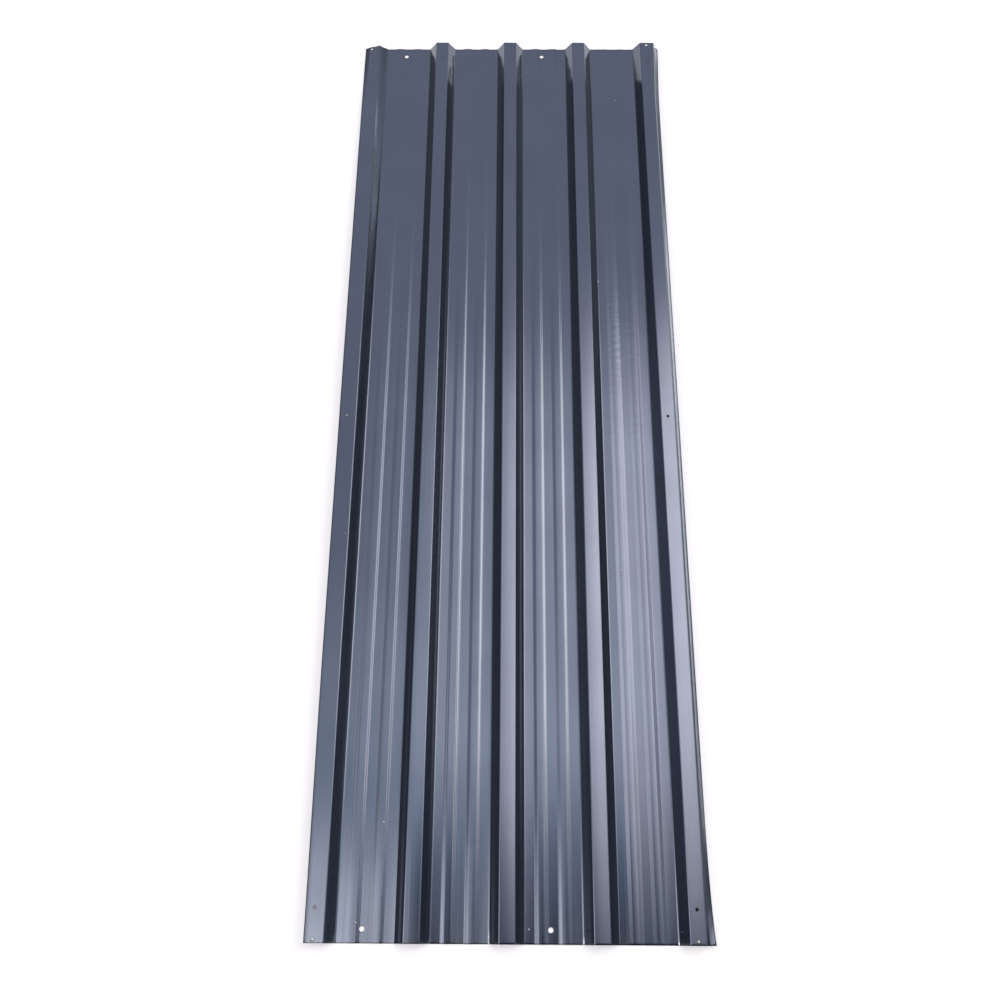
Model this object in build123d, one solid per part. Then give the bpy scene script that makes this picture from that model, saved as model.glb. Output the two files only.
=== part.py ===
from build123d import *
import math
import os

# A box-rib roofing sheet, rolled from one strip of painted steel, lying flat with its pans down.
# X runs across the sheet, Y along the ribs and Z up. The origin is in the middle of the sheet,
# at the height of the pans' underside.

# Strip
sheet_length = 1290.0
steel = 0.5

# Ribs
rib_count = 4
rib_pitch = 105.0
rib_height = 13.9
rib_top = 18.8
rib_wall_run = 9.4
rib_bend = 2.0

# Stiffening ridges in each pan
ridge_count = 2
ridge_spacing = 26.4
ridge_crest = 9.0
ridge_flank = 2.7
ridge_height = 0.9
ridge_bend = 4.0

# Long edges: a flat flange that laps over the next sheet, and a leg with a lip that goes under it
flange_width = 22.0
leg_run = 2.8
leg_drop = 9.2
lip_run = 4.9
lip_drop = 4.0
lap_play = 3.0

# Holes
pan_hole = 6.0
pan_hole_inset = 15.0
pan_hole_shift = -3.2
lap_hole = 3.2
lap_hole_shift = 0.5
corner_hole_inset = 4.5
lap_hole_inset = 37.0

lip_edge_lean = steel * lip_drop / math.hypot(lip_run, lip_drop)
sheet_width = flange_width + rib_count * rib_pitch + leg_run + lip_run + lip_edge_lean
left_edge = -sheet_width / 2
half_top = rib_top / 2
half_base = half_top + rib_wall_run


def rib_centre(number):
    """Rib 0 is the half rib that carries the flange, and the last one carries the leg and lip."""
    return left_edge + flange_width - half_top + number * rib_pitch


def pan_centre(number):
    return rib_centre(number - 0.5)


def ridge_bends(pan):
    """Corners of the low ridges that stiffen one pan, as (x, z, inside radius)."""
    first = pan_centre(pan) - ridge_spacing * (ridge_count - 1) / 2
    bends = []
    for number in range(ridge_count):
        centre = first + number * ridge_spacing
        crest_start = centre - ridge_crest / 2
        crest_end = centre + ridge_crest / 2
        bends.append((crest_start - ridge_flank, 0, ridge_bend))
        bends.append((crest_start, ridge_height, ridge_bend))
        bends.append((crest_end, ridge_height, ridge_bend))
        bends.append((crest_end + ridge_flank, 0, ridge_bend))
    return bends


def section_bends():
    """The underside's corners from the left flange to the right lip, before they are rounded."""
    bends = [(left_edge, rib_height, 0)]
    for number in range(rib_count):
        rib = rib_centre(number)
        bends.append((rib + half_top, rib_height, rib_bend))
        bends.append((rib + half_base, 0, rib_bend))
        bends += ridge_bends(number + 1)
        next_rib = rib_centre(number + 1)
        bends.append((next_rib - half_base, 0, rib_bend))
        bends.append((next_rib - half_top, rib_height, rib_bend))
    leg_top = rib_centre(rib_count) + half_top
    bends.append((leg_top, rib_height, rib_bend))
    bends.append((leg_top + leg_run, rib_height - leg_drop, rib_bend))
    bends.append((leg_top + leg_run + lip_run, rib_height - leg_drop - lip_drop, 0))
    return bends


def directions(bends):
    """Unit direction of each straight run between two corners."""
    runs = []
    for start, end in zip(bends, bends[1:]):
        length = math.dist(start[:2], end[:2])
        runs.append(((end[0] - start[0]) / length, (end[1] - start[1]) / length))
    return runs


def surface(bends, height):
    """Corners and bend radii of the line that lies this far above the underside.

    A corner moves along the bisector of its two runs, so that the strip keeps its thickness,
    and a bend is tighter on the side that it folds towards.
    """
    runs = directions(bends)
    before = [runs[0]] + runs
    after = runs + [runs[-1]]
    corners = []
    radii = []
    for (x, z, inside), (ax, az), (bx, bz) in zip(bends, before, after):
        reach = height / (1 + ax * bx + az * bz)
        corners.append((x - reach * (az + bz), z + reach * (ax + bx)))
        folds_up = ax * bz - az * bx > 0
        radii.append(inside + (steel - height if folds_up else height))
    return corners, radii[1:-1]


def rolled_strip():
    """The strip's section between its two surfaces, drawn straight along the ribs."""
    bends = section_bends()
    under_corners, under_radii = surface(bends, 0)
    top_corners, top_radii = surface(bends, steel)
    with BuildPart() as strip:
        with BuildSketch(Plane.XZ):
            with BuildLine():
                under = FilletPolyline(*under_corners, radius=under_radii)
                top = FilletPolyline(*top_corners, radius=top_radii)
                Line(under @ 0, top @ 0)
                Line(under @ 1, top @ 1)
            make_face()
        extrude(amount=sheet_length / 2, both=True)
    return strip.part


def punch(across, along, diameter):
    """Round punches at every crossing of the given lines, longer than the sheet is high."""
    with BuildPart() as punches:
        with Locations(*[(x, y, 0) for x in across for y in along]):
            Cylinder(diameter / 2, 4 * (rib_height + steel))
    return punches.part


def both_ends(inset):
    return [inset - sheet_length / 2, sheet_length / 2 - inset]


def roof_sheet():
    """The strip with its screw holes: large ones in every other pan, small ones along the laps."""
    holed_pans = [pan_centre(pan) + pan_hole_shift for pan in range(1, rib_count + 1, 2)]
    last_rib = rib_centre(rib_count) + lap_hole_shift
    laps = [last_rib - rib_count * rib_pitch - lap_play, last_rib]
    sheet = rolled_strip()
    sheet -= punch(holed_pans, both_ends(pan_hole_inset), pan_hole)
    sheet -= punch(laps, both_ends(corner_hole_inset) + both_ends(lap_hole_inset) + [0], lap_hole)
    return sheet


os.makedirs("parts", exist_ok=True)
finished = {"roof_sheet": roof_sheet()}
for node, shape in finished.items():
    shape.label = node
    export_step(shape, f"parts/{node}.step")
    print(node, "solids", len(shape.solids()), "volume", round(shape.volume), shape.bounding_box())
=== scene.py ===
import math

import bpy
import numpy as np
from mathutils import Matrix, Vector


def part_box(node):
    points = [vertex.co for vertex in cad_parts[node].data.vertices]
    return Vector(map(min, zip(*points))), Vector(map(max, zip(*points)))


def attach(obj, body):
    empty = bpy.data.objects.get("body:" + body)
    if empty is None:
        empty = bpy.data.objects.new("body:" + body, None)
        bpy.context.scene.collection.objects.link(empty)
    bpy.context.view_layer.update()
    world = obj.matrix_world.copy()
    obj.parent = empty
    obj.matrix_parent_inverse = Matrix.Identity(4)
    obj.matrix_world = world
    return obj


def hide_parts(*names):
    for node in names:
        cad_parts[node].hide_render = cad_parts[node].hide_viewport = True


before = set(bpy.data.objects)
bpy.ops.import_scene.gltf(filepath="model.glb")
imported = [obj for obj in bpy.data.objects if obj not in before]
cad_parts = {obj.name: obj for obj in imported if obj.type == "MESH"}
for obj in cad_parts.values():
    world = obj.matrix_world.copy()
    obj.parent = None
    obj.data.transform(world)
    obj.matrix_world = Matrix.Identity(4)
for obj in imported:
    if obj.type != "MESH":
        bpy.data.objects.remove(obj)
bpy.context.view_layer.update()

# A box-rib roofing sheet of painted steel, lying flat on a studio floor.
# X runs across the sheet, Y along its ribs and Z up. Section sizes are in millimetres.

mm = 0.001

cameraView = {
    "place": (-0.00314, -0.63051, 1.26941),
    "pitch": 67.886,
    "yaw": -1.081,
    "roll": -0.758,
    "focalPixels": 1059.2,
    "imagePixels": 1000,
    "sensorWidth": 36,
    "clip": (0.01, 200),
}


def makeCamera(values):
    # Pitch looks down from the horizon, yaw turns from +Y towards +X, roll turns about the view.
    pitch = math.radians(values["pitch"])
    yaw = math.radians(values["yaw"])
    roll = math.radians(values["roll"])
    forward = Vector((math.sin(yaw) * math.cos(pitch), math.cos(yaw) * math.cos(pitch), -math.sin(pitch)))
    level = Vector((math.cos(yaw), -math.sin(yaw), 0))
    rise = level.cross(forward)
    right = level * math.cos(roll) + rise * math.sin(roll)
    up = rise * math.cos(roll) - level * math.sin(roll)
    data = bpy.data.cameras.new("studioCamera")
    data.sensor_width = values["sensorWidth"]
    data.lens = data.sensor_width * values["focalPixels"] / values["imagePixels"]
    data.clip_start, data.clip_end = values["clip"]
    camera = bpy.data.objects.new("studioCamera", data)
    bpy.context.scene.collection.objects.link(camera)
    turn = Matrix((right, up, -forward)).transposed().to_4x4()
    camera.matrix_world = Matrix.Translation(values["place"]) @ turn
    bpy.context.scene.camera = camera


makeCamera(cameraView)
bpy.context.scene.view_settings.view_transform = "Standard"
print("camera placed")


def addNode(tree, kind, inputs=None, **settings):
    # Makes a node, then fills its inputs with values or with other nodes' outputs.
    node = tree.nodes.new(kind)
    for name, value in settings.items():
        setattr(node, name, value)
    for name, value in (inputs or {}).items():
        if isinstance(value, bpy.types.NodeSocket):
            tree.links.new(value, node.inputs[name])
        else:
            node.inputs[name].default_value = value
    return node


def mathNode(tree, operation, *values):
    return addNode(tree, "ShaderNodeMath", dict(enumerate(values)), operation=operation).outputs[0]


def smoothStep(tree, value, start, end):
    # 0 before start and 1 after end, with a soft rise between them.
    ramp = addNode(tree, "ShaderNodeMapRange", {"Value": value, "From Min": start, "From Max": end},
                   interpolation_type="SMOOTHSTEP")
    return ramp.outputs["Result"]


def mixColours(tree, factor, first, second, blendType="MIX"):
    mix = addNode(tree, "ShaderNodeMix", {0: factor, 6: first, 7: second}, data_type="RGBA",
                  blend_type=blendType)
    return mix.outputs[2]


# Soft boxes are patches of the studio's dome. Their sides are given as slopes from straight up, dx/dz for
# left and right and dy/dz for near and far, each as (start, end) of its soft rise or fall. Below
# leastHeight the slopes stop growing.
studio = {
    "dome": (0.375, 0.402, 0.468),
    "darkest": (0.03, 0.03, 0.04),
    "horizon": (1.0, 1.0, 1.0),
    "horizonRise": (0.0, 0.02),
    "leastHeight": 0.05,
    "softBoxes": [
        {"glow": (0.48, 0.46, 0.56), "left": (-1.6, -1.1), "right": (1.6, 2.0), "near": (-0.06, 0.15),
         "far": (1.5, 1.7), "skew": -0.17},
        {"glow": (4.3, 3.75, 3.5), "left": (-0.09, 0.28), "right": (0.23, 0.44), "near": (-0.18, 0.15),
         "far": (0.40, 0.61), "skew": 0.39},
        {"glow": (0.92, 0.89, 0.98), "left": (-0.12, -0.05), "right": (-0.16, 0.21), "near": (0.06, 0.13),
         "far": (0.53, 0.61), "skew": 0.5},
        {"glow": (5.0, 4.4, 3.8), "left": (0.52, 0.64), "right": (1.1, 1.35), "near": (-0.02, 0.23),
         "far": (0.64, 0.81), "skew": 0.07},
        {"glow": (5.3, 4.75, 4.5), "left": (-0.28, -0.24), "right": (-0.12, -0.05), "near": (-0.6, -0.4),
         "far": (-0.06, 0.15), "skew": 0.0},
        {"glow": (0.75, 0.75, 0.75), "left": (-0.34, -0.24), "right": (-0.055, -0.02), "near": (-0.05, 0.05),
         "far": (0.12, 0.38), "skew": 0.0},
        {"glow": (2.3, 2.0, 2.0), "left": (-1.6, -1.4), "right": (-0.33, -0.30), "near": (-0.6, -0.4),
         "far": (0.01, 0.11), "skew": 0.0},
        {"glow": (1.35, 1.2, 1.25), "left": (-2.25, -1.85), "right": (-0.88, -0.68), "near": (-0.6, -0.4),
         "far": (0.06, 0.62), "skew": 0.0},
        {"glow": (-1.15, -1.0, -0.9), "left": (-0.29, -0.16), "right": (-0.14, 0.31), "near": (-0.6, -0.4),
         "far": (0.06, 0.14), "skew": -0.35},
        {"glow": (10.5, 9.6, 9.0), "left": (5.5, 6.0), "right": (7.0, 7.6), "near": (-7.0, -1.0),
         "far": (-1.0, -0.4), "skew": 0.84},
        {"glow": (10.5, 9.6, 9.0), "left": (5.5, 6.0), "right": (7.0, 7.6), "near": (0.4, 1.0),
         "far": (90, 100), "skew": 0.84},
        {"glow": (0.23, 0.25, 0.28), "left": (1.2, 1.9), "right": (90, 100), "near": (1.0, 1.7),
         "far": (90, 100), "skew": 0.0},
    ],
    "floorColour": (0.60, 0.60, 0.60),
    "floorShade": 0.3,
    "floorGlow": 0.36,
    "floorGlowMirrored": 1.0,
    "mirroredRise": (-0.40, 0.20),
    "floorSize": 60.0,
    "floorDrop": 0.0002,
    "floorGlowFade": 0.014,
    "mirroredGap": 0.003,
    "mirroredFade": 0.015,
    "beyondShare": 0.55,
}


def makeDome(values):
    # The dome's colour, white from the horizon down, plus each soft box's glow times its four soft sides.
    # A skewed box has its near and far sides turned: they move along by skew for each step across. A box
    # with a glow below nothing is a black flag. Camera rays see the white backdrop everywhere.
    world = bpy.data.worlds.new("studioDome")
    world.use_nodes = True
    tree = world.node_tree
    tree.nodes.clear()
    direction = addNode(tree, "ShaderNodeTexCoord").outputs["Generated"]
    parts = addNode(tree, "ShaderNodeSeparateXYZ", {0: direction})
    height = mathNode(tree, "MAXIMUM", parts.outputs["Z"], values["leastHeight"])
    across = mathNode(tree, "DIVIDE", parts.outputs["X"], height)
    along = mathNode(tree, "DIVIDE", parts.outputs["Y"], height)
    horizon = smoothStep(tree, parts.outputs["Z"], *values["horizonRise"][::-1])
    colour = mixColours(tree, horizon, (*values["dome"], 1), (*values["horizon"], 1))
    for box in values["softBoxes"]:
        turned = mathNode(tree, "SUBTRACT", along, mathNode(tree, "MULTIPLY", across, box["skew"]))
        rises = mathNode(tree, "MULTIPLY", smoothStep(tree, across, *box["left"]),
                         smoothStep(tree, turned, *box["near"]))
        falls = mathNode(tree, "MULTIPLY", smoothStep(tree, across, *box["right"][::-1]),
                         smoothStep(tree, turned, *box["far"][::-1]))
        mask = mathNode(tree, "MULTIPLY", rises, falls)
        colour = addNode(tree, "ShaderNodeVectorMath", {0: mask, 1: box["glow"], 2: colour},
                         operation="MULTIPLY_ADD").outputs[0]
    colour = addNode(tree, "ShaderNodeVectorMath", {0: colour, 1: values["darkest"]},
                     operation="MAXIMUM").outputs[0]
    backdrop = addNode(tree, "ShaderNodeLightPath").outputs["Is Camera Ray"]
    colour = mixColours(tree, backdrop, colour, (*values["horizon"], 1))
    background = addNode(tree, "ShaderNodeBackground", {"Color": colour})
    output = addNode(tree, "ShaderNodeOutputWorld")
    tree.links.new(background.outputs[0], output.inputs["Surface"])
    bpy.context.scene.world = world


def makeFloor(values, footprint):
    # A matt floor, its colour darkened where the sheet covers it as a painted shadow, and clear from below.
    # Camera, glossy and transmission rays also see a plain glow outside the sheet's footprint, which keeps
    # the backdrop white while the sheet's shadow stays. Mirrored, it starts a little farther out beside the
    # sheet, a painted shadow in reflections, is weaker beyond its ends, and rises from the near end towards
    # the far one, which paints the near floor darker in reflections.
    half = values["floorSize"] / 2
    drop = -values["floorDrop"]
    mesh = bpy.data.meshes.new("studioFloor")
    square = [(-half, -half, drop), (half, -half, drop), (half, half, drop), (-half, half, drop)]
    mesh.from_pydata(square, [], [(0, 1, 2, 3)])
    floor = bpy.data.objects.new("studioFloor", mesh)
    bpy.context.scene.collection.objects.link(floor)
    material = bpy.data.materials.new("studioFloor")
    material.use_nodes = True
    tree = material.node_tree
    tree.nodes.clear()
    place = addNode(tree, "ShaderNodeTexCoord").outputs["Object"]
    parts = addNode(tree, "ShaderNodeSeparateXYZ", {0: place})
    fade = values["floorGlowFade"]
    gap = values["mirroredGap"]
    across = mathNode(tree, "ABSOLUTE", parts.outputs["X"])
    along = mathNode(tree, "ABSOLUTE", parts.outputs["Y"])
    outside = mathNode(tree, "MAXIMUM", smoothStep(tree, across, footprint[0] - fade, footprint[0]),
                       smoothStep(tree, along, footprint[1] - 2 * fade, footprint[1] - fade))
    # Painted shadow: the floor's colour is scaled down to floorShade where the sheet covers it.
    shade = mathNode(tree, "MULTIPLY_ADD", outside, 1 - values["floorShade"], values["floorShade"])
    # Painted shadow in reflections: the mirrored glow starts mirroredGap beyond the sheet's sides.
    beside = smoothStep(tree, across, footprint[0] + gap, footprint[0] + gap + values["mirroredFade"])
    beyond = smoothStep(tree, along, footprint[1] - fade, footprint[1])
    mirrored = mathNode(tree, "MAXIMUM", beside, mathNode(tree, "MULTIPLY", beyond, values["beyondShare"]))
    # Painted shade in reflections: the mirrored glow is dimmer towards the near end.
    rise = mathNode(tree, "MULTIPLY", smoothStep(tree, parts.outputs["Y"], *values["mirroredRise"]),
                    values["floorGlowMirrored"])
    rays = addNode(tree, "ShaderNodeLightPath")
    indirect = mathNode(tree, "MAXIMUM", rays.outputs["Is Glossy Ray"], rays.outputs["Is Transmission Ray"])
    seen = mathNode(tree, "MULTIPLY", outside, mathNode(tree, "MULTIPLY", rays.outputs["Is Camera Ray"],
                                                        values["floorGlow"]))
    mirrored = mathNode(tree, "MULTIPLY", mirrored, mathNode(tree, "MULTIPLY", indirect, rise))
    glow = addNode(tree, "ShaderNodeEmission", {"Strength": mathNode(tree, "ADD", seen, mirrored)})
    colour = addNode(tree, "ShaderNodeVectorMath", {0: values["floorColour"], "Scale": shade},
                     operation="SCALE").outputs[0]
    matt = addNode(tree, "ShaderNodeBsdfDiffuse", {"Color": colour})
    both = addNode(tree, "ShaderNodeAddShader", {0: matt.outputs[0], 1: glow.outputs[0]})
    clear = addNode(tree, "ShaderNodeBsdfTransparent")
    below = addNode(tree, "ShaderNodeNewGeometry").outputs["Backfacing"]
    surface = addNode(tree, "ShaderNodeMixShader", {0: below, 1: both.outputs[0], 2: clear.outputs[0]})
    output = addNode(tree, "ShaderNodeOutputMaterial")
    tree.links.new(surface.outputs[0], output.inputs["Surface"])
    mesh.materials.append(material)


low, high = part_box("roof_sheet")
makeDome(studio)
makeFloor(studio, (high.x, high.y))
print("studio lit")

# The section as it is drawn, with the bends, creep and ridges of the sheet as it was rolled. The four pans'
# ridges are listed from left to right, and ridgeHeights has the left and the right ridge of each.
rolledSection = {
    "steel": 0.5,
    "ribCount": 4,
    "ribPitch": 105.0,
    "ribHeight": 13.9,
    "ribTop": 18.8,
    "wallRun": 9.4,
    "crownBend": 1.0,
    "footBend": 2.2,
    "crownCreep": 1.2,
    "footCreep": 1.0,
    "ridgeSpacing": 26.4,
    "ridgeCrests": (9.0, 9.0, 9.0, 7.5),
    "ridgeFlanks": (2.7, 2.7, 2.7, 4.5),
    "ridgeHeights": ((0.8, 0.7), (1.0, 0.85), (0.9, 0.7), (0.3, 0.3)),
    "ridgeBends": (3.5, 4.5, 4.5, 8.0),
    "flangeWidth": 22.0,
    "legRun": 2.8,
    "legDrop": 9.2,
    "lipRun": 4.9,
    "lipDrop": 3.5,
}

# How the flats of a rolled sheet stray from level, in degrees: (lean, camber). A positive lean faces right,
# and a camber is how far both sides of the flat turn down. A pan's five flats run from left to right.
flatStray = {
    "flange": (-1.2, -0.3),
    "pans": [
        [(0.6, 0.0), (1.0, 0.4), (0.5, 0.0), (0.2, 0.4), (0.0, -0.7)],
        [(1.3, -0.4), (0.8, 0.5), (-0.4, 0.0), (-0.9, 0.8), (-1.3, -0.7)],
        [(0.0, -1.1), (-1.0, 2.2), (-1.7, 0.0), (-2.3, 2.0), (-2.5, -0.8)],
        [(-3.7, -0.5), (-0.7, 3.0), (-1.9, -0.2), (-1.9, 3.0), (-2.3, -1.0)],
    ],
    "crowns": [(0.6, 0.5), (2.0, 1.7), (1.3, 2.0), (1.3, 1.1)],
}

leftEdge = low.x / mm
halfLength = high.y / mm


def ribCentre(number):
    first = leftEdge + rolledSection["flangeWidth"] - rolledSection["ribTop"] / 2
    return first + number * rolledSection["ribPitch"]


def sectionCorners(values, stray):
    # The underside's corners from left to right as rows of x, z and inside radius. Flats and slopes take
    # turns along the section, so each pair of corners is one flat. Each crown's left corner and each foot
    # to the right of a crown sit a little farther right than in the drawing.
    corners = [[leftEdge, values["ribHeight"], 0]]
    flats = [stray["flange"]]
    halfTop = values["ribTop"] / 2
    halfBase = halfTop + values["wallRun"]
    for number in range(values["ribCount"]):
        rib = ribCentre(number)
        corners.append([rib + halfTop, values["ribHeight"], values["crownBend"]])
        corners.append([rib + halfBase + values["footCreep"], 0, values["footBend"]])
        for side, height in zip((-0.5, 0.5), values["ridgeHeights"][number]):
            ridge = ribCentre(number + 0.5) + side * values["ridgeSpacing"]
            reach = values["ridgeCrests"][number] / 2
            flank = values["ridgeFlanks"][number]
            bend = values["ridgeBends"][number]
            corners.append([ridge - reach - flank, 0, bend])
            corners.append([ridge - reach, height, bend])
            corners.append([ridge + reach, height, bend])
            corners.append([ridge + reach + flank, 0, bend])
        crownStart = ribCentre(number + 1) - halfTop + values["crownCreep"]
        corners.append([ribCentre(number + 1) - halfBase, 0, values["footBend"]])
        corners.append([crownStart, values["ribHeight"], values["crownBend"]])
        flats += [*stray["pans"][number], stray["crowns"][number]]
    legTop = ribCentre(values["ribCount"]) + halfTop
    legFoot = values["ribHeight"] - values["legDrop"]
    corners.append([legTop, values["ribHeight"], values["crownBend"]])
    corners.append([legTop + values["legRun"], legFoot, values["crownBend"]])
    corners.append([legTop + values["legRun"] + values["lipRun"], legFoot - values["lipDrop"], 0])
    return np.array(corners), np.radians(np.array(flats))


def rolledStretches(corners, steel):
    # The underside as straight runs and arcs in turn, each a stretch of constant curvature. An arc starts
    # its radius times the tangent of half its turn before the corner, and a fold upwards is wider by
    # the steel.
    steps = np.diff(corners[:, :2], axis=0)
    lengths = np.hypot(steps[:, 0], steps[:, 1])
    headings = np.arctan2(steps[:, 1], steps[:, 0])
    turns = np.diff(headings)
    radii = corners[1:-1, 2] + np.where(turns > 0, steel, 0)
    setbacks = radii * np.tan(np.abs(turns) / 2)
    count = 2 * len(lengths) - 1
    spans = np.zeros(count)
    bends = np.zeros(count)
    heading = np.zeros(count)
    spans[0::2] = lengths - np.append(0, setbacks) - np.append(setbacks, 0)
    spans[1::2] = radii * np.abs(turns)
    bends[1::2] = np.sign(turns) / radii
    heading[0::2] = headings
    heading[1::2] = headings[:-1]
    chords = spans * np.sinc(bends * spans / 2 / np.pi)
    middles = heading + bends * spans / 2
    return {
        "start": np.append(0, np.cumsum(spans)),
        "x": corners[0, 0] + np.append(0, np.cumsum(chords * np.cos(middles)))[:-1],
        "z": corners[0, 1] + np.append(0, np.cumsum(chords * np.sin(middles)))[:-1],
        "heading": heading,
        "bend": bends,
    }


def sectionAt(stretches, across):
    # A point s along a stretch lies one chord away, at the heading halfway along:
    # chord = s sin(k s / 2) / (k s / 2), with k the curvature.
    index = np.searchsorted(stretches["start"], across, side="right") - 1
    index = np.clip(index, 0, len(stretches["bend"]) - 1)
    s = across - stretches["start"][index]
    half = stretches["bend"][index] * s / 2
    chord = s * np.sinc(half / np.pi)
    middle = stretches["heading"][index] + half
    return (stretches["x"][index] + chord * np.cos(middle), stretches["z"][index] + chord * np.sin(middle),
            middle + half)


corners, flatTurns = sectionCorners(rolledSection, flatStray)
stretches = rolledStretches(corners, rolledSection["steel"])
developedWidth = stretches["start"][-1]
print("section unrolled, strip width", round(developedWidth, 1), "mm")

# A hole's margin and cells are those of the grid's square round it, and lookups is how many places across
# are tried to find each hole's own on the flat strip.
screwHoles = {
    "panDiameter": 6.0,
    "panInset": 15.0,
    "panShift": -3.2,
    "panMargin": 4.5,
    "panCells": 6,
    "lapDiameter": 3.2,
    "lapShift": 0.5,
    "lapPlay": 3.0,
    "cornerInset": 4.5,
    "lapInset": 37.0,
    "lapMargin": 3.0,
    "lapCells": 4,
    "rimDip": 0.015,
    "rimReach": 0.7,
    "lookups": 20001,
}


def holePlaces(values):
    # Rows of across (developed), along, radius, half width of the grid's square round it and its cells.
    lastRib = ribCentre(rolledSection["ribCount"]) + values["lapShift"]
    laps = [lastRib - rolledSection["ribCount"] * rolledSection["ribPitch"] - values["lapPlay"], lastRib]
    holed = range(0, rolledSection["ribCount"], 2)
    pans = [ribCentre(number + 0.5) + values["panShift"] for number in holed]
    samples = np.linspace(0, developedWidth, values["lookups"])
    sampleX = sectionAt(stretches, samples)[0]
    panSize = (values["panDiameter"] / 2, values["panMargin"], values["panCells"])
    lapSize = (values["lapDiameter"] / 2, values["lapMargin"], values["lapCells"])
    corner = halfLength - values["cornerInset"]
    inner = halfLength - values["lapInset"]
    found = []
    for x in pans:
        for y in (values["panInset"] - halfLength, halfLength - values["panInset"]):
            found.append((np.interp(x, sampleX, samples), y, *panSize))
    for x in laps:
        for y in (corner, -corner, inner, -inner, 0):
            found.append((np.interp(x, sampleX, samples), y, *lapSize))
    return np.array(found)


holes = holePlaces(screwHoles)
print("holes placed:", len(holes))

# Steps of the sheet's grid, in degrees of turn in the bends and in millimetres elsewhere.
stripGrid = {
    "wallTurn": 30.0,
    "wallTurnStep": 11.0,
    "ridgeTurnStep": 7.0,
    "guard": 0.4,
    "guardedRun": 4.0,
    "flatStep": 5.5,
    "rowStep": 24.0,
    "endRowStep": 9.0,
    "endRows": 130.0,
    "edgeStep": 1.0,
    "gapAcross": 0.2,
    "gapAlong": 0.6,
    "sharpAngle": 40.0,
}


def gridLines(values):
    # Lines across: each arc is cut into equal turns, and each longer straight run has a guard line near
    # both ends. A shorter one has the lines of the arcs beside it.
    across = [0.0, developedWidth]
    starts = stretches["start"]
    for index, bend in enumerate(stretches["bend"]):
        start, end = starts[index], starts[index + 1]
        if bend:
            turn = math.degrees(abs(bend) * (end - start))
            step = values["wallTurnStep"] if turn > values["wallTurn"] else values["ridgeTurnStep"]
            across += list(np.linspace(start, end, math.ceil(turn / step) + 1))
        elif end - start > values["guardedRun"]:
            inner = np.linspace(start + values["guard"], end - values["guard"],
                                max(2, round((end - start) / values["flatStep"])) + 1)
            across += [start, *inner, end]
    # Lines along: wide rows in the middle and closer ones towards the ends.
    dense = halfLength - values["endRows"]
    middle = np.linspace(-dense, dense, round(2 * dense / values["rowStep"]) + 1)
    rows = round(values["endRows"] / values["endRowStep"])
    ends = np.linspace(dense, halfLength - values["edgeStep"], rows + 1)
    along = [*middle, *ends, *(-ends), -halfLength, halfLength]
    return np.unique(np.round(across, 4)), np.unique(np.round(along, 4))


def linesRound(centres, radii, margins, cells):
    # The square round a hole has equal cells inside the hole's radius and one more line at its margin.
    lines = [centre + radius * np.linspace(-1, 1, int(count) + 1)
             for centre, radius, count in zip(centres, radii, cells)]
    return np.unique(np.round(np.concatenate([*lines, centres - margins, centres + margins]), 4))


def mergeLines(plain, fixed, gap):
    # Plain lines nearer than gap to a hole's own lines give way to them.
    clear = np.abs(plain[:, None] - fixed[None, :]).min(axis=1) > gap
    return np.unique(np.concatenate([plain[clear], fixed]))


def openRings(across, along):
    # Squares of grid points round a hole become rings: on the square at the hole's radius they lie on
    # the hole's circle, and at the margin they are the square again.
    inside = np.zeros(across.shape, bool)
    movedAcross, movedAlong = across.copy(), along.copy()
    for u, v, radius, margin in holes[:, :4]:
        du, dv = across - u, along - v
        size = np.maximum(np.abs(du), np.abs(dv))
        wide = np.abs(du) >= np.abs(dv)
        with np.errstate(divide="ignore", invalid="ignore"):
            angle = np.pi / 4 * np.where(wide, dv / du, du / dv)
        angle = np.nan_to_num(angle)
        ringU = size * np.where(wide, np.sign(du) * np.cos(angle), np.sign(dv) * np.sin(angle))
        ringV = size * np.where(wide, np.sign(du) * np.sin(angle), np.sign(dv) * np.cos(angle))
        square = np.clip((size - radius) / (margin - radius), 0, 1)
        near = size < margin - 1e-6
        movedAcross[near] = (u + ringU + square * (du - ringU))[near]
        movedAlong[near] = (v + ringV + square * (dv - ringV))[near]
        inside |= size < radius - 1e-4
    return movedAcross, movedAlong, inside


plainAcross, plainAlong = gridLines(stripGrid)
linesAcross = mergeLines(plainAcross, linesRound(holes[:, 0], *holes[:, 2:].T), stripGrid["gapAcross"])
linesAlong = mergeLines(plainAlong, linesRound(holes[:, 1], *holes[:, 2:].T), stripGrid["gapAlong"])
gridAcross, gridAlong = np.meshgrid(linesAcross, linesAlong, indexing="ij")
stripAcross, stripAlong, insideHole = openRings(gridAcross, gridAlong)
print("grid", gridAcross.shape)
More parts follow.
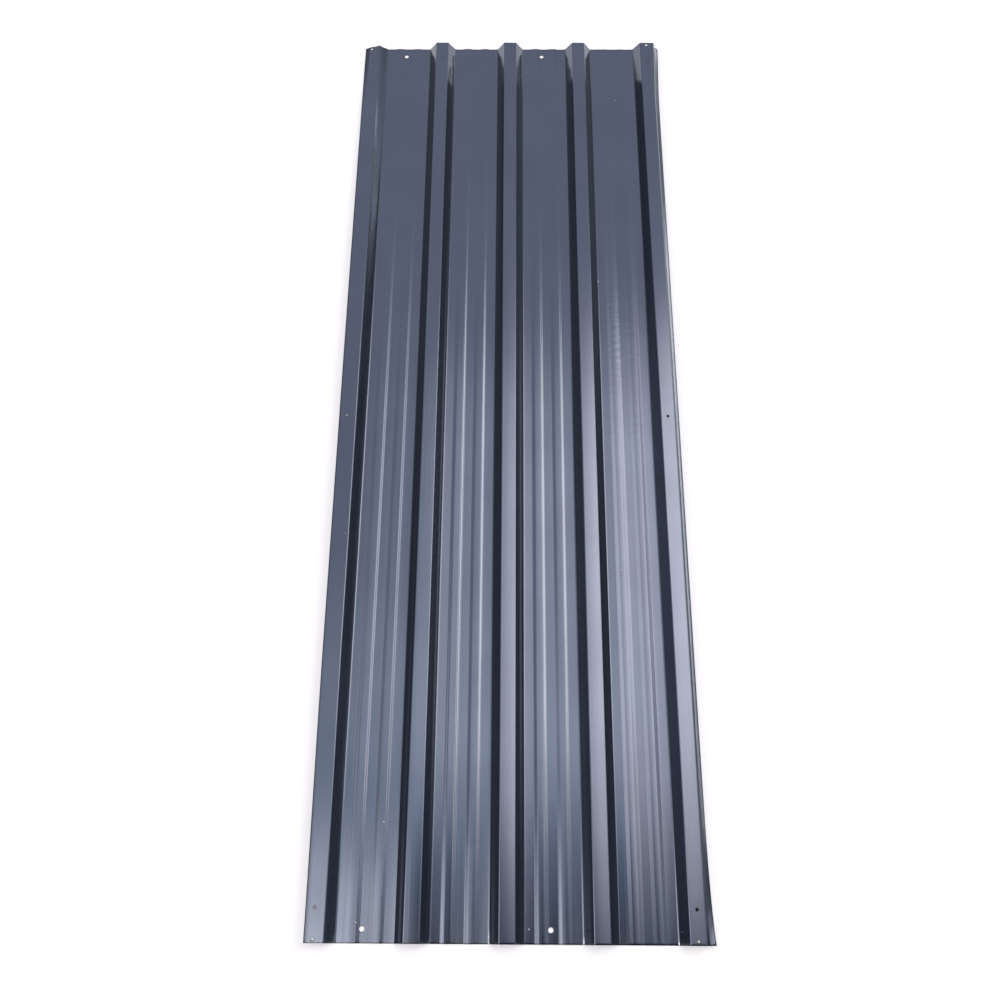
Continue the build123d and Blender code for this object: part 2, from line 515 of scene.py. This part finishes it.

# What bent and marked this sheet. The section takes droopShares of the droop at droopAcross from the left
# edge. A chatter patch is (pan, side, start, end, strength). Pale-marked feet are numbered from the left.
sheetWear = {
    "droop": 13.0,
    "droopStart": 0.0,
    "droopPower": 2.25,
    "droopAcross": (0, 7, 19, 25, 31.5, 48),
    "droopShares": (1.0, 0.76, 0.55, 0.37, 0.03, 0.0),
    "droopShift": 2.4,
    "wallPlace": (34.0, 20.0),
    "splay": 1.3,
    "splayLength": 350.0,
    "flare": 2.6,
    "flareLength": 130.0,
    "flarePower": 1.5,
    "flarePlace": (-12.0, 1.0),
    "nearFlare": 4.2,
    "nearFlareLength": 55.0,
    "nearLift": 0.6,
    "rollover": 0.10,
    "rolloverReach": 0.8,
    "leanDrift": 0.2,
    "driftStep": 180.0,
    "driftSeed": 5,
    "chatter": ((3, -0.5, -190, 250, 1.0), (3, 0.5, -190, 250, 1.0), (2, -0.5, -190, 250, 0.3),
                (2, 0.5, -190, 250, 0.4), (1, 0.5, -640, -470, 1.0), (2, 0.5, -660, -500, 0.5)),
    "chatterFade": 90.0,
    "chatterSides": (2.5, -1.0),
    "paleMarkFeet": (0, 2, 3, 5, 7),
    "paleMarkLength": 12.0,
    "paleMarkUneven": (0.5, 2.4),
    "paleMarkFull": 0.4,
    "paleMarkWidth": 1.4,
    "paleMarkCore": 0.3,
}


def easeBetween(value, start, end):
    # 0 up to start and 1 from end on, and 3 t^2 - 2 t^3 at the share t of the way between them.
    t = np.clip((value - start) / (end - start), 0, 1)
    return t * t * (3 - 2 * t)


def slowNoise(length, step, seed):
    # A smooth random line from -1 to 1: random knots every step, joined by eased curves.
    knots = np.random.default_rng(seed).uniform(-1, 1, int(2 * halfLength / step) + 3)
    place = (length + halfLength) / step
    index = np.clip(place.astype(int), 0, len(knots) - 2)
    t = easeBetween(place - index, 0, 1)
    return knots[index] * (1 - t) + knots[index + 1] * t


def edgeDistance(across, along):
    # Distances in the strip's plane to the nearest sheared edge and to the nearest hole's rim.
    edge = np.minimum(np.minimum(across, developedWidth - across), halfLength - np.abs(along))
    rim = np.full(across.shape, halfLength)
    for u, v, radius in holes[:, :3]:
        rim = np.minimum(rim, np.hypot(across - u, along - v) - radius)
    return np.maximum(edge, 0), np.maximum(rim, 0)


def flatHeight(x, drift):
    # A leaning flat is a straight line through its middle, lower on the side that it faces, and the slopes
    # between flats join their ends. A cambered flat adds a parabola that is nothing at its two corners.
    # Of the twelve corners from one crown to the next, the middle ten are a pan's. A pan rests on the
    # lowest of them, so the rest of it is lifted.
    count = len(flatTurns)
    starts = corners[0:2 * count:2, 0]
    ends = corners[1:2 * count:2, 0]
    widths = ends - starts
    lifts = np.zeros(len(corners))
    lifts[0:2 * count:2] = flatTurns[:, 0] * widths / 2
    lifts[1:2 * count:2] = -flatTurns[:, 0] * widths / 2
    sags = np.zeros(len(corners))
    sags[0:2 * count:2] = np.minimum(flatTurns[:, 1] * widths / 4, 0)
    for number in range(rolledSection["ribCount"]):
        pan = slice(2 + 12 * number, 12 + 12 * number)
        lifts[pan] -= (lifts[pan] + sags[pan]).min()
    index = np.clip(np.searchsorted(starts, x, side="right") - 1, 0, count - 1)
    t = np.clip((x - starts[index]) / widths[index], 0, 1)
    return (np.interp(x, corners[:, 0], lifts) + flatTurns[index, 1] * widths[index] * t * (1 - t)) * drift


def strayFromDrawing(values, x, along, edge, rim):
    # How far the real sheet is from its drawing at each point, as (dx, dz):
    # leaning flats, the flange's far corner bent down, the leg's corners, and edges dipped by the shear.
    drift = slowNoise(along, values["driftStep"], values["driftSeed"])
    dz = flatHeight(x, 1 + values["leanDrift"] * drift)
    far = np.clip((along - values["droopStart"]) / (halfLength - values["droopStart"]), 0, 1)
    far = far ** values["droopPower"]
    dz = dz - values["droop"] * np.interp(x - leftEdge, values["droopAcross"], values["droopShares"]) * far
    # The wall under the flange moves outwards with the droop, and a little along the rest of the sheet.
    wall = easeBetween(x - leftEdge, *values["wallPlace"])
    dx = -values["droopShift"] * wall * far
    splay = easeBetween(along, -halfLength, -halfLength + values["splayLength"]) * (1 - far)
    dx = dx - values["splay"] * wall * splay
    # The leg by the far right corner is pushed outwards, and the crown beside it is pulled a little flatter.
    flare = easeBetween(along, halfLength - values["flareLength"], halfLength) ** values["flarePower"]
    lastCrown = corners[-3, 0]
    start, end = values["flarePlace"]
    dx = dx + values["flare"] * flare * easeBetween(x, lastCrown + start, lastCrown + end)
    # By the near right corner the leg is spread open: its lip moves outwards and up.
    spread = np.clip((x - lastCrown) / (corners[-1, 0] - lastCrown), 0, 1)
    spread = spread * np.exp(-(along + halfLength) / values["nearFlareLength"])
    dx = dx + values["nearFlare"] * spread
    dz = dz + values["nearLift"] * values["nearFlare"] * spread ** 2
    # The shear and the punches roll the edges over, less with each step away from them.
    dz = dz - values["rollover"] * np.exp(-(edge / values["rolloverReach"]) ** 2)
    dz = dz - screwHoles["rimDip"] * np.exp(-(rim / screwHoles["rimReach"]) ** 2)
    return dx, dz


def sheetSurfaces():
    # Underside: the section's point at that place across, carried along Y. Top: the same, one steel
    # thickness along the section's normal. A hole's rim counts as twice as far as it is in the distance
    # to an edge, because the painted shade line round a hole is half as wide.
    x, z, heading = sectionAt(stretches, stripAcross)
    edge, rim = edgeDistance(stripAcross, stripAlong)
    dx, dz = strayFromDrawing(sheetWear, x, stripAlong, edge, rim)
    steel = rolledSection["steel"]
    under = np.stack([x + dx, stripAlong, np.maximum(z + dz, 0)], axis=-1)
    normal = np.stack([-np.sin(heading), np.zeros_like(x), np.cos(heading)], axis=-1)
    return under, under + steel * normal, np.minimum(edge, 2 * rim)


def sheetFaces(shape, inside):
    # Each cell of the grid is a face unless one of its corners is inside a hole. A face's side that
    # no other face shares gets a strip down to the underside.
    numbers = np.arange(shape[0] * shape[1]).reshape(shape)
    cells = np.stack([numbers[:-1, :-1], numbers[1:, :-1], numbers[1:, 1:], numbers[:-1, 1:]], axis=-1)
    punched = inside[:-1, :-1] | inside[1:, :-1] | inside[1:, 1:] | inside[:-1, 1:]
    top = cells[~punched]
    total = numbers.size
    starts = top.ravel()
    ends = np.roll(top, -1, axis=1).ravel()
    alone = ~np.isin(ends * total + starts, starts * total + ends)
    a, b = starts[alone], ends[alone]
    sides = np.stack([a, a + total, b + total, b], axis=-1)
    return top, top[:, ::-1] + total, sides


def chatterShare(values, x, along):
    # How strong the chatter marks are. Each patch lies on one ridge of one pan, between two places along it.
    share = np.zeros(x.shape)
    fade = values["chatterFade"]
    outer, inner = values["chatterSides"]
    for pan, side, start, end, strength in values["chatter"]:
        reach = rolledSection["ridgeCrests"][pan] / 2 + rolledSection["ridgeFlanks"][pan]
        ridge = ribCentre(pan + 0.5) + side * rolledSection["ridgeSpacing"]
        patch = easeBetween(along, start, start + fade) * easeBetween(along, end, end - fade)
        across = easeBetween(np.abs(x - ridge), reach + outer, reach + inner)
        share = np.maximum(share, strength * patch * across)
    return share


def paleFootShare(values, x, along):
    # Pale marks by the near end: a short streak along each of the wall feet named,
    # whose length swings with a sine of the foot's number.
    halfBase = rolledSection["ribTop"] / 2 + rolledSection["wallRun"]
    ribs = range(rolledSection["ribCount"] + 1)
    feet = [ribCentre(number) + side * halfBase for number in ribs for side in (-1, 1)][1:-1]
    length = along + halfLength
    swing, phase = values["paleMarkUneven"]
    share = np.zeros(x.shape)
    for number in values["paleMarkFeet"]:
        narrow = easeBetween(np.abs(x - feet[number]), values["paleMarkWidth"], values["paleMarkCore"])
        reach = values["paleMarkLength"] * (1 + swing * math.sin(phase * number))
        share = np.maximum(share, narrow * easeBetween(length, reach, values["paleMarkFull"] * reach))
    return share


def addPointVectors(mesh, name, rows):
    layer = mesh.attributes.new(name, "FLOAT_VECTOR", "POINT")
    layer.data.foreach_set("vector", rows.astype(np.float32).ravel())


def buildSheet():
    # The top's points come first and the underside's after them. Each point keeps its place on the flat
    # strip with its distance to an edge, and its share of chatter marks and of pale foot marks.
    under, top, edge = sheetSurfaces()
    topFaces, underFaces, sideFaces = sheetFaces(gridAcross.shape, insideHole)
    points = np.concatenate([top.reshape(-1, 3), under.reshape(-1, 3)]) * mm
    place = np.stack([stripAcross, stripAlong, edge], axis=-1) * mm
    x = sectionAt(stretches, stripAcross)[0]
    marks = np.stack([chatterShare(sheetWear, x, stripAlong), paleFootShare(sheetWear, x, stripAlong),
                      np.zeros(x.shape)], axis=-1)
    faces = np.concatenate([topFaces, underFaces, sideFaces])
    used, order = np.unique(faces, return_inverse=True)
    faces = order.reshape(-1, 4)
    mesh = bpy.data.meshes.new("rolledSheet")
    mesh.vertices.add(len(used))
    mesh.vertices.foreach_set("co", points[used].astype(np.float32).ravel())
    mesh.loops.add(faces.size)
    mesh.loops.foreach_set("vertex_index", faces.ravel().astype(np.int32))
    mesh.polygons.add(len(faces))
    mesh.polygons.foreach_set("loop_start", np.arange(0, faces.size, 4, dtype=np.int32))
    slots = np.repeat([0, 1, 2], [len(topFaces), len(underFaces), len(sideFaces)]).astype(np.int32)
    mesh.polygons.foreach_set("material_index", slots)
    mesh.update(calc_edges=True)
    mesh.validate()
    addPointVectors(mesh, "strip", np.tile(place.reshape(-1, 3), (2, 1))[used])
    addPointVectors(mesh, "marks", np.tile(marks.reshape(-1, 3), (2, 1))[used])
    mesh.polygons.foreach_set("use_smooth", np.ones(len(faces), bool))
    mesh.set_sharp_from_angle(angle=math.radians(stripGrid["sharpAngle"]))
    sheet = bpy.data.objects.new("rolledSheet", mesh)
    bpy.context.scene.collection.objects.link(sheet)
    return sheet


sheet = buildSheet()
print("sheet built,", len(sheet.data.polygons) * 2, "triangles")

# How each effect's noise is broken up, and the levels or distances between which it fades in.
surfaceEffects = {
    "streakRise": (0.25, 0.75),
    "broadScale": 0.22,
    "broadPlace": 7.3,
    "broadDetail": 2.0,
    "broadRise": (0.3, 0.7),
    "peelDetail": 2.5,
    "cloudDetail": 4.0,
    "cloudRise": (0.3, 0.7),
    "patchDetail": 1.0,
    "patchRise": (0.35, 0.6),
    "speckSpacing": 4.0,
    "speckRise": (0.16, 0.06),
    "openShare": 0.12,
    "dustReach": (0.03, 0.0),
    "edgeReach": (0.0020, 0.0006),
}


def newGroup(name, inputs, outputs):
    group = bpy.data.node_groups.new(name, "ShaderNodeTree")
    for title, kind, value in inputs:
        socket = group.interface.new_socket(title, in_out="INPUT", socket_type=kind)
        if value is not None:
            socket.default_value = value
    for title, kind in outputs:
        group.interface.new_socket(title, in_out="OUTPUT", socket_type=kind)
    return group, group.nodes.new("NodeGroupInput"), group.nodes.new("NodeGroupOutput")


def noiseNode(tree, place, detail):
    return addNode(tree, "ShaderNodeTexNoise", {"Vector": place, "Scale": 1.0, "Detail": detail}).outputs[0]


def dividedBy(tree, vector, size):
    factor = mathNode(tree, "DIVIDE", 1.0, size)
    return addNode(tree, "ShaderNodeVectorMath", {0: vector, "Scale": factor}, operation="SCALE").outputs[0]


def flattened(tree, vector):
    # The same place without its Z, which on the strip is the distance to an edge.
    parts = addNode(tree, "ShaderNodeSeparateXYZ", {0: vector}).outputs
    return addNode(tree, "ShaderNodeCombineXYZ", {"X": parts["X"], "Y": parts["Y"]}).outputs[0]


def makeRollingStreaks(values):
    # Streaks left by the rolls: noise on the strip's own plane, stretched many times along its length.
    group, start, end = newGroup(
        "rollingStreaks",
        [("Strip", "NodeSocketVector", None), ("Width", "NodeSocketFloat", 0.004),
         ("Length", "NodeSocketFloat", 0.5), ("Detail", "NodeSocketFloat", 3.0)],
        [("Streak", "NodeSocketFloat"), ("Broad", "NodeSocketFloat")])
    parts = addNode(group, "ShaderNodeSeparateXYZ", {0: start.outputs["Strip"]})
    u = mathNode(group, "DIVIDE", parts.outputs["X"], start.outputs["Width"])
    v = mathNode(group, "DIVIDE", parts.outputs["Y"], start.outputs["Length"])
    place = addNode(group, "ShaderNodeCombineXYZ", {"X": u, "Y": v}).outputs[0]
    fine = noiseNode(group, place, start.outputs["Detail"])
    wide = {"X": mathNode(group, "MULTIPLY", u, values["broadScale"]), "Y": v, "Z": values["broadPlace"]}
    place = addNode(group, "ShaderNodeCombineXYZ", wide).outputs[0]
    broad = noiseNode(group, place, values["broadDetail"])
    group.links.new(smoothStep(group, fine, *values["streakRise"]), end.inputs["Streak"])
    group.links.new(smoothStep(group, broad, *values["broadRise"]), end.inputs["Broad"])
    return group


def makePaintGrain(values):
    # The paint's skin: a fine orange peel, finer grit in it and soft clouds, all on the strip's plane.
    group, start, end = newGroup(
        "paintGrain",
        [("Strip", "NodeSocketVector", None), ("Peel Size", "NodeSocketFloat", 0.0014),
         ("Cloud Size", "NodeSocketFloat", 0.09)],
        [("Peel", "NodeSocketFloat"), ("Clouds", "NodeSocketFloat")])
    flat = flattened(group, start.outputs["Strip"])
    peel = noiseNode(group, dividedBy(group, flat, start.outputs["Peel Size"]), values["peelDetail"])
    clouds = noiseNode(group, dividedBy(group, flat, start.outputs["Cloud Size"]), values["cloudDetail"])
    group.links.new(peel, end.inputs["Peel"])
    group.links.new(smoothStep(group, clouds, *values["cloudRise"]), end.inputs["Clouds"])
    return group


def makeChatter(values):
    # Chatter marks: uneven waves across the strip, stronger in some patches, as rolls leave where they slip.
    # The waves are noise less its middle level, so they rise and dip alike.
    group, start, end = newGroup(
        "chatterMarks",
        [("Strip", "NodeSocketVector", None), ("Pitch", "NodeSocketFloat", 0.006),
         ("Width", "NodeSocketFloat", 0.012), ("Patch Size", "NodeSocketFloat", 0.05)],
        [("Waves", "NodeSocketFloat")])
    parts = addNode(group, "ShaderNodeSeparateXYZ", {0: start.outputs["Strip"]})
    u = mathNode(group, "DIVIDE", parts.outputs["X"], start.outputs["Width"])
    v = mathNode(group, "DIVIDE", parts.outputs["Y"], start.outputs["Pitch"])
    waves = noiseNode(group, addNode(group, "ShaderNodeCombineXYZ", {"X": u, "Y": v}).outputs[0], 0.0)
    place = dividedBy(group, start.outputs["Strip"], start.outputs["Patch Size"])
    share = smoothStep(group, noiseNode(group, place, values["patchDetail"]), *values["patchRise"])
    group.links.new(mathNode(group, "MULTIPLY", mathNode(group, "SUBTRACT", waves, 0.5), share),
                    end.inputs["Waves"])
    return group


def makeDustSpecksAndEdgeBand(values):
    # Pale dust specks, sparse over the sheet and closer together along its sheared edges, and the narrow
    # band along an edge, which the top coat darkens as a painted shade line.
    group, start, end = newGroup(
        "dustSpecksAndEdgeBand",
        [("Strip", "NodeSocketVector", None), ("Speck Size", "NodeSocketFloat", 0.0022),
         ("Amount", "NodeSocketFloat", 0.35)],
        [("Specks", "NodeSocketFloat"), ("Edge", "NodeSocketFloat")])
    parts = addNode(group, "ShaderNodeSeparateXYZ", {0: start.outputs["Strip"]})
    flat = flattened(group, start.outputs["Strip"])
    cell = mathNode(group, "MULTIPLY", start.outputs["Speck Size"], values["speckSpacing"])
    cells = addNode(group, "ShaderNodeTexVoronoi", {"Vector": dividedBy(group, flat, cell), "Scale": 1.0})
    dot = smoothStep(group, cells.outputs["Distance"], *values["speckRise"])
    chance = addNode(group, "ShaderNodeSeparateColor", {0: cells.outputs["Color"]}).outputs[0]
    nearEdge = smoothStep(group, parts.outputs["Z"], *values["dustReach"])
    crowd = mathNode(group, "ADD", values["openShare"], nearEdge)
    limit = mathNode(group, "MULTIPLY", start.outputs["Amount"], crowd)
    chosen = mathNode(group, "LESS_THAN", chance, limit)
    group.links.new(mathNode(group, "MULTIPLY", dot, chosen), end.inputs["Specks"])
    group.links.new(smoothStep(group, parts.outputs["Z"], *values["edgeReach"]), end.inputs["Edge"])
    return group


rollingStreaks = makeRollingStreaks(surfaceEffects)
paintGrain = makePaintGrain(surfaceEffects)
chatterMarks = makeChatter(surfaceEffects)
dustSpecksAndEdgeBand = makeDustSpecksAndEdgeBand(surfaceEffects)
print("surface effects made")

slatePaint = {
    "colour": (0.092, 0.112, 0.143),
    "deepColour": (0.085, 0.103, 0.133),
    "chalk": (0.42, 0.44, 0.47),
    # edgeColour is painted shade along sheared edges and round holes.
    "edgeColour": (0.035, 0.040, 0.050),
    "paleFootMark": (0.38, 0.40, 0.43),
    "paleFootRise": (0.42, 0.55),
    "metallic": 0.97,
    "roughness": 0.115,
    "streakRoughness": 0.04,
    "cloudRoughness": 0.02,
    "coatWeight": 0.25,
    "coatRoughness": 0.10,
    "dust": 0.05,
    "dustCover": 0.4,
    "dustRoughness": 0.3,
    "peelBump": 0.035,
    "flake": 0.03,
    "flakeRise": (0.4, 0.6),
    "streakWidth": 0.0045,
    "streakLength": 0.42,
    "streakBump": 0.07,
    "chatterBump": 0.35,
    "bumpDistance": 0.0002,
}

backingCoat = {
    "colour": (0.30, 0.305, 0.29),
    "deepColour": (0.24, 0.245, 0.235),
    "deepShare": 0.8,
    "edgeColour": (0.11, 0.11, 0.11),
    "edgeShare": 0.6,
    "streakWidth": 0.007,
    "streakLength": 0.3,
    "streakRoughness": -0.08,
    "peelSize": 0.0015,
    "peelBump": 0.3,
    "roughness": 0.52,
    "bumpDistance": 0.0002,
}

shearedSteel = {
    "bright": (0.46, 0.47, 0.49),
    "dull": (0.24, 0.24, 0.25),
    "peelSize": 0.0008,
    "cloudSize": 0.03,
    "metallic": 0.9,
    "roughness": 0.42,
    "peelRoughness": 0.2,
}


def useGroup(tree, group, **inputs):
    # An underscore in an input's name stands for its space.
    named = {name.replace("_", " "): value for name, value in inputs.items()}
    return addNode(tree, "ShaderNodeGroup", named, node_tree=group).outputs


def pointValue(tree, name):
    node = addNode(tree, "ShaderNodeAttribute", attribute_name=name, attribute_type="GEOMETRY")
    return node.outputs["Vector"]


def newMaterial(name):
    material = bpy.data.materials.new(name)
    material.use_nodes = True
    tree = material.node_tree
    tree.nodes.clear()
    shader = addNode(tree, "ShaderNodeBsdfPrincipled")
    output = addNode(tree, "ShaderNodeOutputMaterial")
    tree.links.new(shader.outputs[0], output.inputs["Surface"])
    return material, tree, shader, pointValue(tree, "strip")


def makeSlatePaint(values):
    # The coloured coat on top: clouds of two close tones, pale flakes and specks, painted shade along
    # sheared edges and round holes, pale marks at some wall feet, and bumps of orange peel, rolling streaks
    # and chatter.
    material, tree, shader, strip = newMaterial("slatePaint")
    streaks = useGroup(tree, rollingStreaks, Strip=strip, Width=values["streakWidth"],
                       Length=values["streakLength"])
    grain = useGroup(tree, paintGrain, Strip=strip)
    dust = useGroup(tree, dustSpecksAndEdgeBand, Strip=strip, Amount=values["dust"])
    colour = mixColours(tree, grain["Clouds"], (*values["colour"], 1), (*values["deepColour"], 1))
    flake = smoothStep(tree, grain["Peel"], *values["flakeRise"])
    flake = mathNode(tree, "MULTIPLY", flake, values["flake"])
    colour = mixColours(tree, flake, colour, (*values["chalk"], 1))
    # Painted shade: a dark line along sheared edges and round holes.
    colour = mixColours(tree, dust["Edge"], colour, (*values["edgeColour"], 1))
    specks = mathNode(tree, "MULTIPLY", dust["Specks"], values["dustCover"])
    colour = mixColours(tree, specks, colour, (*values["chalk"], 1))
    marks = addNode(tree, "ShaderNodeSeparateXYZ", {0: pointValue(tree, "marks")}).outputs
    # Pale streaks at some wall feet by the near end.
    paleFootMark = smoothStep(tree, grain["Peel"], *values["paleFootRise"])
    paleFootMark = mathNode(tree, "MULTIPLY", marks["Y"], paleFootMark)
    colour = mixColours(tree, paleFootMark, colour, (*values["paleFootMark"], 1))
    tree.links.new(colour, shader.inputs["Base Color"])
    rough = mathNode(tree, "ADD", mathNode(tree, "MULTIPLY", streaks["Broad"], values["streakRoughness"]),
                     mathNode(tree, "MULTIPLY", grain["Clouds"], values["cloudRoughness"]))
    specks = mathNode(tree, "MULTIPLY", dust["Specks"], values["dustRoughness"])
    rough = mathNode(tree, "ADD", rough, specks)
    tree.links.new(mathNode(tree, "ADD", rough, values["roughness"]), shader.inputs["Roughness"])
    height = mathNode(tree, "ADD", mathNode(tree, "MULTIPLY", grain["Peel"], values["peelBump"]),
                      mathNode(tree, "MULTIPLY", streaks["Streak"], values["streakBump"]))
    chatter = mathNode(tree, "MULTIPLY", useGroup(tree, chatterMarks, Strip=strip)["Waves"], marks["X"])
    height = mathNode(tree, "ADD", height, mathNode(tree, "MULTIPLY", chatter, values["chatterBump"]))
    bump = addNode(tree, "ShaderNodeBump", {"Height": height, "Distance": values["bumpDistance"]})
    tree.links.new(bump.outputs[0], shader.inputs["Normal"])
    shader.inputs["Metallic"].default_value = values["metallic"]
    shader.inputs["Coat Weight"].default_value = values["coatWeight"]
    shader.inputs["Coat Roughness"].default_value = values["coatRoughness"]
    return material


def makeBackingCoat(values):
    # The thin grey coat under the sheet: two close tones, a darker line along sheared edges, a sheen that
    # varies with the rolling streaks, and orange peel.
    material, tree, shader, strip = newMaterial("backingCoat")
    streaks = useGroup(tree, rollingStreaks, Strip=strip, Width=values["streakWidth"],
                       Length=values["streakLength"])
    grain = useGroup(tree, paintGrain, Strip=strip, Peel_Size=values["peelSize"])
    dust = useGroup(tree, dustSpecksAndEdgeBand, Strip=strip)
    tone = mathNode(tree, "MULTIPLY", streaks["Broad"], values["deepShare"])
    tone = mathNode(tree, "MULTIPLY", grain["Clouds"], tone)
    colour = mixColours(tree, tone, (*values["colour"], 1), (*values["deepColour"], 1))
    edge = mathNode(tree, "MULTIPLY", dust["Edge"], values["edgeShare"])
    colour = mixColours(tree, edge, colour, (*values["edgeColour"], 1))
    tree.links.new(colour, shader.inputs["Base Color"])
    rough = mathNode(tree, "MULTIPLY", streaks["Streak"], values["streakRoughness"])
    rough = mathNode(tree, "ADD", values["roughness"], rough)
    tree.links.new(rough, shader.inputs["Roughness"])
    bump = addNode(tree, "ShaderNodeBump", {"Height": grain["Peel"], "Strength": values["peelBump"],
                                            "Distance": values["bumpDistance"]})
    tree.links.new(bump.outputs[0], shader.inputs["Normal"])
    return material


def makeShearedSteel(values):
    # The cut faces of the strip: bright and dull metal in clouds, rougher where its grain is higher.
    material, tree, shader, strip = newMaterial("shearedSteel")
    grain = useGroup(tree, paintGrain, Strip=strip, Peel_Size=values["peelSize"],
                     Cloud_Size=values["cloudSize"])
    colour = mixColours(tree, grain["Clouds"], (*values["bright"], 1), (*values["dull"], 1))
    tree.links.new(colour, shader.inputs["Base Color"])
    rough = mathNode(tree, "MULTIPLY", grain["Peel"], values["peelRoughness"])
    tree.links.new(mathNode(tree, "ADD", values["roughness"], rough), shader.inputs["Roughness"])
    shader.inputs["Metallic"].default_value = values["metallic"]
    return material


sheet.data.materials.append(makeSlatePaint(slatePaint))
sheet.data.materials.append(makeBackingCoat(backingCoat))
sheet.data.materials.append(makeShearedSteel(shearedSteel))
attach(sheet, "root")
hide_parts("roof_sheet")
print("finishes applied")
